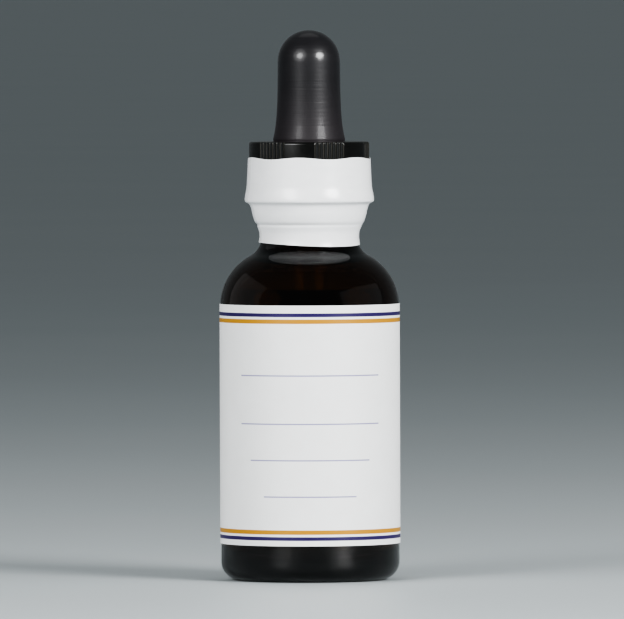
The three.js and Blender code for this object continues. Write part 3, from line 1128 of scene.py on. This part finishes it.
@dataclass
class Bulb(Piece):
    """Rubber bulb: a domed tube with a flared foot, a flange under the cap and a grip round the pipette."""

    title = "rubber_bulb"
    node = "bulb"
    body = Body.DROPPER
    finish = MouldedRubber()

    cap: Cap
    pipette: Pipette
    radius: float = 5.75
    wall: float = 1.45
    flare: float = 1.05
    flare_length: float = 3.4
    flange_thickness: float = 1.1
    gap: float = 0.06
    ring_height: float = 2.95
    ring: Ridge = Ridge(0.012, 0.14)
    tuck: Ridge = Ridge(0.2, 0.32)
    step: float = 0.14
    columns: int = 160

    def mesh(self) -> Mesh:
        """Turns the chamber, grip, flange, flared tube and dome, and presses in the mould's ring mark.

        At a height h over the cap's top the tube's radius is radius + flare * exp(-h / flare_length), less
        the ring mark's groove and a tuck just over the cap.

        Returns:
            The bulb's mesh.
        """
        low, high = self.box.bottom, self.box.top
        dome = high - self.radius
        chamber = self.radius - self.wall
        grip = self.pipette.box.radius + self.gap
        seat = self.pipette.box.top + self.gap
        flange_top = low + self.flange_thickness
        cap_top = self.cap.box.top
        h = np.linspace(0.0, dome - cap_top, int((dome - cap_top) / self.step))
        tube = self.radius + self.flare * np.exp(-h / self.flare_length)
        tube -= self.ring.rise(h - self.ring_height) + self.tuck.rise(h)
        inside = np.vstack((arc((0.0, dome), chamber, 90.0, 0.0, 16), [(chamber, seat)]))
        neck = ((chamber, seat, 0.0), (grip, seat, 0.1), (grip, low, 0.1))
        flange = ((self.box.radius, low, 0.2), (self.box.radius, flange_top, 0.2))
        foot = eased(neck + flange + ((tube[0], flange_top, 0.1), (tube[0], cap_top, 0.0)), steps=4)[1:-1]
        top = arc((0.0, dome), self.radius, 0.0, 90.0, 40)[1:]
        profile = np.vstack((inside, foot, np.column_stack((tube, cap_top + h)), top))
        points = revolve(profile[:, :1], profile[:, 1:], around(self.columns))
        return lay_mesh(self.title, points, loop_rows=False, sharp=50.0)


# Studio


@dataclass(frozen=True)
class PhotoCamera:
    """A long lens far off, a little above the bottle, framing it as the photograph does."""

    distance: float = 2500.0
    elevation: float = 1.5
    aim: Triple = (0.44, 0.0, 49.96)
    frame_width: float = 115.47
    roll: float = -0.18
    sensor: float = 36.0
    clip_end: float = 500.0  # metres

    def build(self) -> None:
        """Puts the camera in place and makes it the scene's."""
        rise = np.radians(self.elevation)
        aim = Vector(self.aim) * MM
        back = Vector((0.0, -np.cos(rise), np.sin(rise))) * self.distance * MM
        lens = bpy.data.cameras.new("photo_camera")
        lens.sensor_width = self.sensor
        lens.lens = self.sensor * self.distance / self.frame_width
        lens.clip_end = self.clip_end
        camera = bpy.data.objects.new("photo_camera", lens)
        camera.location = aim + back
        turn = (-back).to_track_quat("-Z", "Y").to_matrix() @ Matrix.Rotation(np.radians(self.roll), 3, "Z")
        camera.rotation_euler = turn.to_euler()
        bpy.context.scene.collection.objects.link(camera)
        bpy.context.scene.camera = camera


class Reach(Enum):
    """Which pieces a light falls on, as black flags hold it off the others in a studio."""

    ALL = "ALL"
    ALL_BUT_GLASS = "EXCLUDE"
    GLASS = "INCLUDE"


@dataclass(frozen=True)
class SoftBox:
    """A round soft light or a square pale card, aimed at the bottle from a bearing off its front.

    The main lights are held off the glass bottle, so that it stays dark, and dim cards at its sides give it
    soft reflections. A light that isn't mirrored only fills shadows.
    """

    title: str
    bearing: float
    elevation: float
    width: float
    height: float
    watts: float
    reach: Reach = Reach.ALL
    mirrored: bool = True
    distance: float = 900.0
    aim: Triple = (0.0, 0.0, 60.0)

    def build(self, bottle: bpy.types.Object) -> None:
        """Hangs the light.

        Args:
            bottle: Glass bottle that the light can be held off or kept to.
        """
        turn, rise = np.radians(self.bearing), np.radians(self.elevation)
        out = Vector((np.sin(turn) * np.cos(rise), -np.cos(turn) * np.cos(rise), np.sin(rise)))
        lamp = bpy.data.lights.new(self.title, "AREA")
        lamp.shape = "RECTANGLE" if self.reach is Reach.GLASS else "ELLIPSE"
        lamp.size = self.width * MM
        lamp.size_y = self.height * MM
        lamp.energy = self.watts
        light = bpy.data.objects.new(self.title, lamp)
        light.location = (Vector(self.aim) + out * self.distance) * MM
        light.rotation_euler = (-out).to_track_quat("-Z", "Y").to_euler()
        light.visible_camera = False
        light.visible_glossy = self.mirrored
        bpy.context.scene.collection.objects.link(light)
        if self.reach is not Reach.ALL:
            flagged = bpy.data.collections.new(f"{self.title}_flag")
            flagged.objects.link(bottle)
            flagged.collection_objects[0].light_linking.link_state = self.reach.value
            light.light_linking.receiver_collection = flagged


@dataclass(frozen=True)
class Studio:
    """Pale floor, soft lights and the photograph's camera."""

    floor_drop: float = 0.02
    floor_rings: tuple[float, ...] = (0.0, 30.0, 100.0, 300.0, 1000.0, 4000.0, 20000.0, 100000.0)
    floor_columns: int = 96
    world_tint: str = "#E9F1F4"
    world_strength: float = 0.2
    lights: tuple[SoftBox, ...] = (
        SoftBox("key_right", 43.0, 22.0, 430.0, 345.0, 7.7, Reach.ALL_BUT_GLASS),
        SoftBox("key_left", -35.0, 22.0, 350.0, 300.0, 2.5, Reach.ALL_BUT_GLASS),
        SoftBox("bounce_left", -36.0, 24.0, 800.0, 640.0, 2.0, Reach.ALL_BUT_GLASS),
        SoftBox("top_back", 180.0, 65.0, 600.0, 400.0, 0.22, Reach.ALL_BUT_GLASS),
        SoftBox("card_left", -98.0, 17.0, 980.0, 680.0, 0.44, Reach.GLASS),
        SoftBox("card_right", 76.0, 16.0, 1150.0, 500.0, 0.38, Reach.GLASS),
        SoftBox("fill_right", 75.0, 15.0, 1200.0, 1000.0, 3.6, mirrored=False, distance=1500.0),
        SoftBox("fill_left", -65.0, 15.0, 1200.0, 1000.0, 4.6, mirrored=False, distance=1500.0),
    )

    def floor(self) -> None:
        """Lays the floor as rings of one flat disc."""
        rings = np.array(self.floor_rings)[::-1, None]
        points = revolve(rings, np.full_like(rings, -self.floor_drop), around(self.floor_columns))
        floor = bpy.data.objects.new("pale_floor", lay_mesh("pale_floor", points, loop_rows=False))
        bpy.context.scene.collection.objects.link(floor)
        floor.data.materials.append(STUDIO_PAPER.material())

    def build(self, bottle: bpy.types.Object) -> None:
        """Builds the floor, the light and the camera.

        Args:
            bottle: Glass bottle that some of the lights are held off or kept to.
        """
        scene = bpy.context.scene
        self.floor()
        for light in self.lights:
            light.build(bottle)
        scene.world = bpy.data.worlds.new("soft_room")
        scene.world.use_nodes = True
        room = scene.world.node_tree.nodes["Background"]
        room.inputs["Color"].default_value = linear(self.world_tint)
        room.inputs["Strength"].default_value = self.world_strength
        scene.view_settings.view_transform = "AgX"
        scene.view_settings.look = "AgX - High Contrast"
        PhotoCamera().build()


def main() -> None:
    """Builds the pieces in order, then the studio."""
    logging.basicConfig(level=logging.INFO, format="%(name)s: %(message)s")
    bottle, pipette, cap = Bottle(), Pipette(), Cap()
    glass = bottle.build()
    for piece in (Extract(bottle, pipette), Label(), Band(cap), cap, Bulb(cap, pipette), pipette):
        piece.build()
    Studio().build(glass)


if __name__ == "__main__":
    main()
